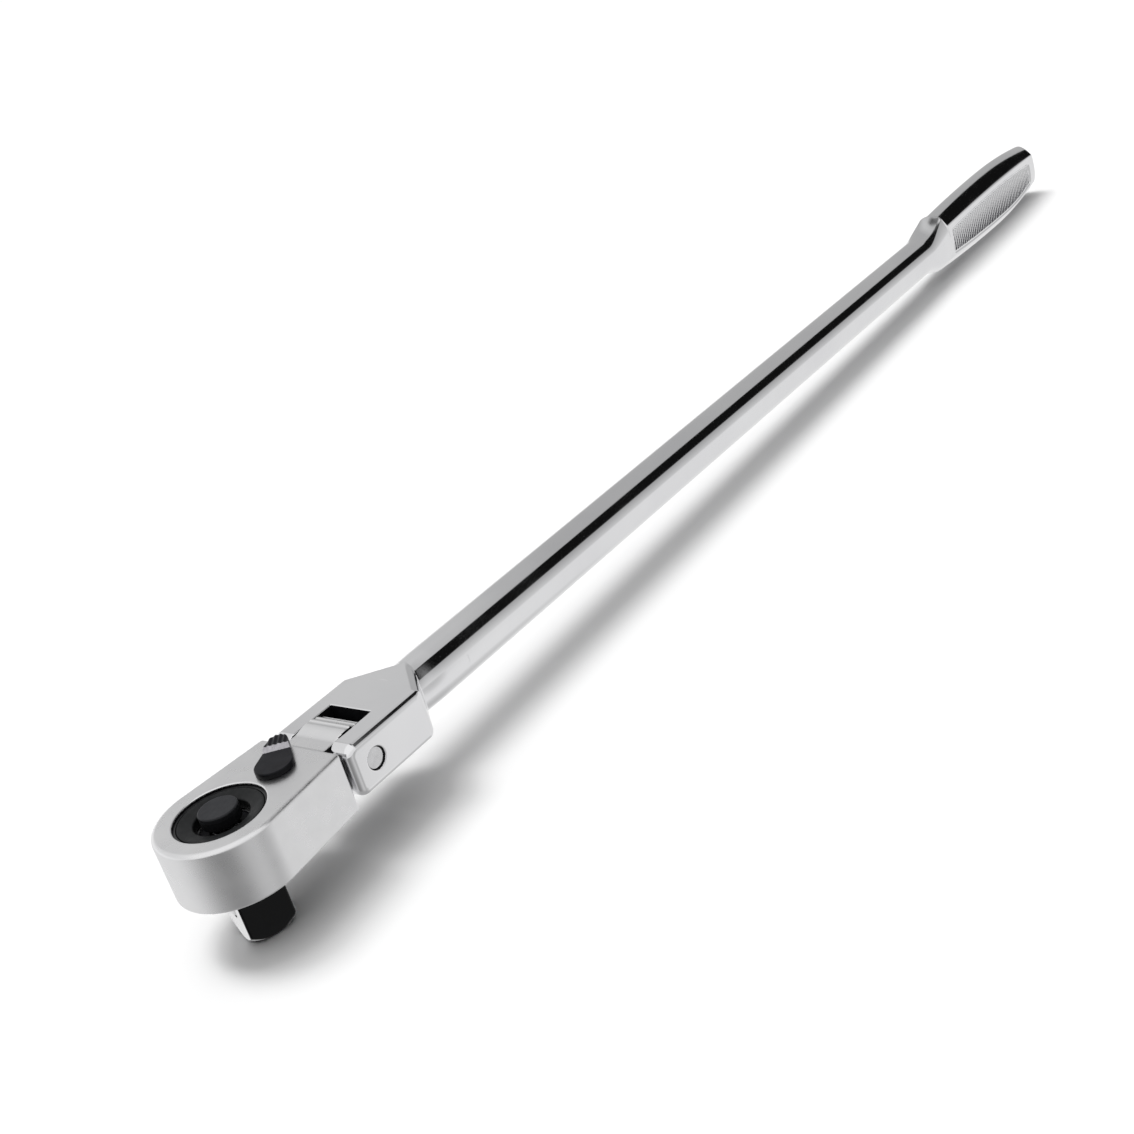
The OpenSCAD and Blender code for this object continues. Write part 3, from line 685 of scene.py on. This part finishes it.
# How fast the grip thins towards its front and its butt, in millimetres for each squared millimetre
# from the belly
FRONT_CURVE, UPPER_REAR, LOWER_REAR = 0.0005, 0.0013, 0.0024
SIDE_FRONT, SIDE_REAR = 0.0001, 0.0007
PANEL_MIDDLE_X, PANEL_HALF_LEN = 480.1, 49.1
RIDGE_PITCH, RIDGE_LEAN = 2.0, 0.12


def barrel(x, front, rear):
    return np.where(x < BELLY_X, front, rear) * (x - BELLY_X) ** 2


def butt_loss(x):
    t = np.clip((x - BUTT_X + BUTT_R) / BUTT_R, 0, 1)
    return BUTT_R * (1 - np.sqrt(np.maximum(0, 1 - t * t)))


def by_angle(stops, radii):
    """Half section from straight up to level, each stretch of angle bent at its own radius: (reach, rise)."""
    middle = (ANGLE[1:] + ANGLE[:-1]) / 2
    bend = np.select([middle < stop for stop in stops], radii)
    reach = np.concatenate([[0], np.cumsum(bend * (np.sin(ANGLE[1:]) - np.sin(ANGLE[:-1])))])
    drop = np.concatenate([[0], np.cumsum(bend * (np.cos(ANGLE[:-1]) - np.cos(ANGLE[1:])))])
    return reach, drop[-1] - drop


# The grip's section: a narrow rounded crest, flatter shoulders, a small corner and nearly flat sides
REACH, RISE = by_angle(np.radians([33, 56, 80, 91]), [4.3, 17.0, 2.0, 46.8])
HALF_GRIP_W = REACH[-1]
UPPER_H = RISE[0]
LOWER_H = (HANDLE_HIGH[2] - HANDLE_LOW[2]) / 2 + 0.5


def panel_edge(x, h):
    """Distance from the outline of the knurled panel on the grip's side, negative inside it."""
    above = UPPER_H - barrel(x, FRONT_CURVE, UPPER_REAR) - 7.3
    below = LOWER_H - barrel(x, FRONT_CURVE, LOWER_REAR) - 5.2
    half = np.where(h > 0, above, below)
    return meet(np.abs(h) - half, np.abs(x - PANEL_MIDDLE_X) - PANEL_HALF_LEN, 2.0)


def ridges(x, h):
    return wave(x + RIDGE_LEAN * h, RIDGE_PITCH) * (0.75 + 0.25 * wave(h + 0.25 * x, RIDGE_PITCH))


def panel_depth(x, h):
    """How far the side of the grip lies under its plain section: a bevelled rim round a knurled floor."""
    outer = panel_edge(x, h)
    lift = np.clip((-outer - 1.3) / 0.4, 0, 1)
    return 0.62 * ease(-outer / 1.1) - lift * 0.5 * ridges(x, h)


def shaft_rings():
    """Where the sections lie along the handle, much closer together on the neck, the panels and the butt."""
    plain = np.concatenate([[SEAM_X - 2], np.linspace(SEAM_X, FLARE_X - 2, 18)])
    flare = np.linspace(FLARE_X, CREASE_X, 42)
    panel = np.arange(CREASE_X + 0.12, BUTT_X - 5.1, 0.27)
    end = BUTT_X - BUTT_R + BUTT_R * np.sin(np.linspace(0, math.pi / 2, 20))
    return np.concatenate([plain, flare, panel, end])


def neck_section(x):
    """The neck: a round shaft whose shoulder tightens to a corner while the crest lifts and the side flattens."""
    t = np.clip((x - FLARE_X - 1) / (CREASE_X - FLARE_X - 1), 0, 1)
    wide = SHAFT_R + (HALF_GRIP_W - barrel(CREASE_X, SIDE_FRONT, 0) - SHAFT_R) * t
    high = SHAFT_R + (UPPER_H - barrel(CREASE_X, FRONT_CURVE, 0) - SHAFT_R) * t ** 1.8
    corner = SHAFT_R + (0.4 - SHAFT_R) * ease(t / 0.75)
    stops = np.radians([35, 58, 91])
    s, c = np.sin(stops[:2]), np.cos(stops[:2])
    # the crest's and the side's radii that give this width and this height
    left = np.array([[s[0], 1 - s[1]], [1 - c[0], c[1]]])
    right = np.array([wide - corner * (s[1] - s[0]), high - corner * (c[0] - c[1])])
    crest, side = np.linalg.solve(left, right)
    return by_angle(stops, [crest, corner, side])


def grip_section(x, crest_h, rear_curve):
    """Half of the grip's section at x, above or below its axis: (reach, rise) by angle."""
    wide = 1 - barrel(x, SIDE_FRONT, SIDE_REAR) / HALF_GRIP_W
    high = (crest_h - barrel(x, FRONT_CURVE, rear_curve)) / UPPER_H
    loss = butt_loss(x)
    return REACH * wide - loss * np.sin(ANGLE), RISE * high - loss * np.cos(ANGLE)


def upper_section(x):
    if x < FLARE_X:
        # a hair inside the yoke where the two overlap
        r = SHAFT_R - (0.005 if x < SEAM_X else 0)
        return r * np.sin(ANGLE), r * np.cos(ANGLE)
    return neck_section(x) if x <= CREASE_X else grip_section(x, UPPER_H, UPPER_REAR)


def lower_section(x):
    """Under the axis the neck swells smoothly into the grip, as wide as the upper half at its level line."""
    reach, drop = grip_section(max(x, CREASE_X), LOWER_H, LOWER_REAR)
    t = ease((x - FLARE_X) / (CREASE_X - FLARE_X))
    reach = SHAFT_R * np.sin(ANGLE) * (1 - t) + reach * t
    drop = SHAFT_R * np.cos(ANGLE) * (1 - t) + drop * t
    return reach * upper_section(x)[0][-1] / reach[-1], drop


def shaft_grip():
    """The shaft and grip from the yoke to the butt: points and faces."""
    xs = shaft_rings()
    angle = np.concatenate([ANGLE, math.pi - ANGLE[-2::-1]])
    angle = np.concatenate([angle, 2 * math.pi - angle[-2:0:-1]])
    rows = []
    for x in xs:
        reach, rise = upper_section(x)
        under, drop = lower_section(x)
        y = np.concatenate([reach, under[-2::-1]])
        h = np.concatenate([rise, -drop[-2::-1]])
        rows.append([np.concatenate([y, -y[-2:0:-1]]), np.concatenate([h, h[-2:0:-1]])])
    y, h = np.array(rows).transpose(1, 0, 2)
    X, A = np.meshgrid(xs, angle, indexing="ij")
    depth = np.where((X > CREASE_X) & (np.abs(np.cos(A)) < 0.5), panel_depth(X, h), 0)
    y = y - depth * np.sin(A)
    h = h - depth * np.cos(A)
    points = np.stack([X, y, AXIS_Z + h], -1).reshape(-1, 3)
    return points, capped(*X.shape)


def knurl_painted_shade(x, y, z):
    """Painted shade on the front flank of each ridge, more of it lower down."""
    h = z - AXIS_Z
    on_side = (np.abs(y) > 0.7 * HALF_GRIP_W) & (panel_edge(x, h) < -1.4)
    phase = ((x + RIDGE_LEAN * h) / RIDGE_PITCH) % 1
    return on_side & (phase > 0.5) & (phase < 0.5 + 0.42 * np.clip((3.5 - h) / 9, 0, 1))


piece("handle_shaft_grip", "handle", ["handle"], [POLISHED, KNURL_SHADE],
      shaft_grip(), knurl_painted_shade)


def hinge(x, y, z):
    r = np.hypot(x - HINGE_X, z - AXIS_Z)
    return meet(r - HINGE_R + 0.01, np.abs(y) - PIN_HIGH[1] + 0.4, 0.3)


piece("hinge_pin_round", "handle", ["hinge_pin"], [PIN_STEEL],
      surface(hinge, PIN_LOW - 0.5, PIN_HIGH + 0.5, 0.2))


def ball(x, y, z):
    cx, cy, cz = (BALL_LOW + BALL_HIGH) / 2
    return np.sqrt((x - cx) ** 2 + (y - cy) ** 2 + (z - cz) ** 2) - (BALL_HIGH[2] - BALL_LOW[2]) / 2


piece("detent_ball", "ball", ["socket_ball"], [BEARING],
      surface(ball, BALL_LOW - 0.4, BALL_HIGH + 0.4, 0.15))

# ---------------------------------------------------------------------------
# Floor, light and camera
# ---------------------------------------------------------------------------

FLOOR_NEAR = np.array([0, 0, -16.9])
FLOOR_FAR = np.array([492, 0, -4.8])
SWEEP_START, SWEEP_END, SWEEP_RISE = 1200, 7000, 0.00002


def floor():
    """A wide plain floor through the square's end and the grip, rising gently far away like a studio sweep."""
    middle = (FLOOR_NEAR + FLOOR_FAR) / 2
    tilt = (FLOOR_FAR - FLOOR_NEAR)[2] / (FLOOR_FAR - FLOOR_NEAR)[0]
    radii = np.concatenate([[0.0], np.linspace(SWEEP_START, SWEEP_END, 24)])
    turns = np.arange(96) / 96 * 2 * math.pi
    R, T = np.meshgrid(radii, turns, indexing="ij")
    x, y = R * np.cos(T), R * np.sin(T)
    z = tilt * x + SWEEP_RISE * np.maximum(0, R - SWEEP_START) ** 2
    points = middle + np.stack([x, y, z], -1).reshape(-1, 3)
    obj = build("floor", points, closed_rows(*R.shape)[0])
    m = Nodes("floor_white", (0.93, 0.93, 0.93), 0, 0.9, Specular_IOR_Level=0.0)
    m.tint(m.noise(12, 3), (0.925, 0.925, 0.925), (0.935, 0.935, 0.935))
    obj.data.materials.append(m.material)
    obj.visible_glossy = False
    obj.visible_diffuse = False


floor()


class Sky:
    """The studio round the object, as brightness by direction."""

    def __init__(self):
        made = bpy.data.worlds.new("studio")
        bpy.context.scene.world = made
        made.use_nodes = True
        # only reflections show the sky, and the suns give all the diffuse light
        made.cycles_visibility.diffuse = False
        self.tree = made.node_tree
        self.background = self.tree.nodes["Background"]
        place = self.tree.nodes.new("ShaderNodeTexCoord").outputs["Generated"]
        split = self.tree.nodes.new("ShaderNodeSeparateXYZ")
        self.tree.links.new(place, split.inputs[0])
        self.x, self.y, self.z = split.outputs

    def calc(self, kind, a, b):
        made = self.tree.nodes.new("ShaderNodeMath")
        made.operation = kind
        for k, v in enumerate((a, b)):
            if isinstance(v, (int, float)):
                made.inputs[k].default_value = v
            else:
                self.tree.links.new(v, made.inputs[k])
        return made.outputs[0]

    def turn(self, a, b, start):
        """The angle of (b, a) as a share of a full turn from start degrees."""
        share = self.calc("DIVIDE", self.calc("ARCTAN2", a, b), 2 * math.pi)
        return self.calc("FRACT", self.calc("ADD", share, 1 - start / 360), 0)

    def ramp(self, share, start, stops):
        made = self.tree.nodes.new("ShaderNodeValToRGB")
        elements = made.color_ramp.elements
        while len(elements) < len(stops):
            elements.new(0.5)
        for e, (degrees, value) in zip(elements, stops):
            e.position = (degrees - start) / 360
            e.color = (value, value, value, 1)
        self.tree.links.new(share, made.inputs["Fac"])
        return made.outputs["Color"]

    def step(self, source, low, high):
        made = self.tree.nodes.new("ShaderNodeMapRange")
        made.inputs["From Min"].default_value = low
        made.inputs["From Max"].default_value = high
        self.tree.links.new(source, made.inputs["Value"])
        return made.outputs["Result"]

    def mix(self, share, a, b):
        made = self.tree.nodes.new("ShaderNodeMix")
        made.data_type = "RGBA"
        colours = [s for s in made.inputs if s.type == "RGBA"]
        self.tree.links.new(share, made.inputs["Factor"])
        self.tree.links.new(a, colours[0])
        self.tree.links.new(b, colours[1])
        return next(s for s in made.outputs if s.type == "RGBA")


def studio():
    """Brightness above the horizon by roll about the handle, and below it by compass direction."""
    sky = Sky()
    roll = sky.turn(sky.z, sky.y, -90)
    plain = sky.ramp(roll, -90, [
        (-90, 0.85), (-12, 0.85), (0, 1.1), (14, 1.05), (26, 0.84), (48, 0.80), (70, 1.0), (140, 1.0),
        (160, 0.85), (189, 0.85), (269, 0.85)])
    near = sky.ramp(roll, -90, [
        (-90, 0.55), (-45, 0.58), (-10, 0.62), (60, 0.66), (101.5, 0.60), (102.5, 0.006), (143, 0.006),
        (146, 0.46), (189, 0.85), (240, 0.85), (269, 0.65)])
    far = sky.ramp(roll, -90, [
        (-90, 0.40), (-45, 0.45), (-10, 0.47), (60, 0.48), (101.5, 0.48), (102.5, 0.006), (143, 0.006),
        (146, 0.42), (189, 0.76), (240, 0.80), (269, 0.60)])
    shade = sky.ramp(roll, -90, [
        (-90, 0.60), (60, 0.60), (78, 0.10), (101, 0.16), (108, 0.80), (150, 0.90), (269, 0.80)])
    above = sky.mix(sky.step(sky.x, 0.58, 0.68), near, far)
    above = sky.mix(sky.step(sky.x, 0.50, 0.525), shade, above)
    above = sky.mix(sky.step(sky.x, 0.36, 0.42), plain, above)
    compass = sky.turn(sky.y, sky.x, -46)
    below = sky.ramp(compass, -46, [
        (-46, 0.88), (0, 0.84), (85, 0.88), (130, 0.88), (147, 0.83), (163, 0.69), (177, 0.53), (190, 0.39),
        (204, 0.30), (217, 0.27), (230, 0.32), (244, 0.44), (258, 0.61), (272, 0.64), (288, 0.48),
        (302, 0.60), (308, 0.86), (313, 0.88)])
    deep = sky.ramp(compass, -46, [(-46, 0.42), (313, 0.42)])
    below = sky.mix(sky.step(sky.z, -0.70, -0.92), below, deep)
    sky.tree.links.new(sky.mix(sky.step(sky.z, 0.02, -0.06), above, below), sky.background.inputs["Color"])


studio()


def sun(name, towards, spread, strength):
    """A soft light from far away. towards is where it shines from, and spread its width in degrees."""
    data = bpy.data.lights.new(name, "SUN")
    data.energy = strength
    data.angle = math.radians(spread)
    obj = bpy.data.objects.new(name, data)
    bpy.context.scene.collection.objects.link(obj)
    obj.rotation_mode = "QUATERNION"
    obj.rotation_quaternion = (-Vector(towards)).to_track_quat("-Z", "Y")
    obj.visible_glossy = False


sun("key_low", (-0.03, 0.42, 1.0), 18, 0.84)
sun("key_high", (0.0, 0.16, 1.0), 20, 0.78)
sun("dome", (0.0, 0.16, 1.0), 100, 2.1)


def camera():
    data = bpy.data.cameras.new("camera")
    data.lens = 46.651
    data.sensor_width = 36
    data.clip_start = 0.01
    obj = bpy.data.objects.new("camera", data)
    bpy.context.scene.collection.objects.link(obj)
    obj.location = Vector((-160.575, -272.125, 186.492)) * MM
    aim = Vector((163.16, 20.02, -8.0)) * MM
    look = (aim - obj.location).to_track_quat("-Z", "Y")
    obj.rotation_mode = "QUATERNION"
    obj.rotation_quaternion = look @ Quaternion((0, 0, 1), math.radians(-16.33))
    bpy.context.scene.camera = obj


camera()
bpy.context.scene.view_settings.view_transform = "Standard"
bpy.context.scene.view_settings.look = "None"

bpy.context.view_layer.update()
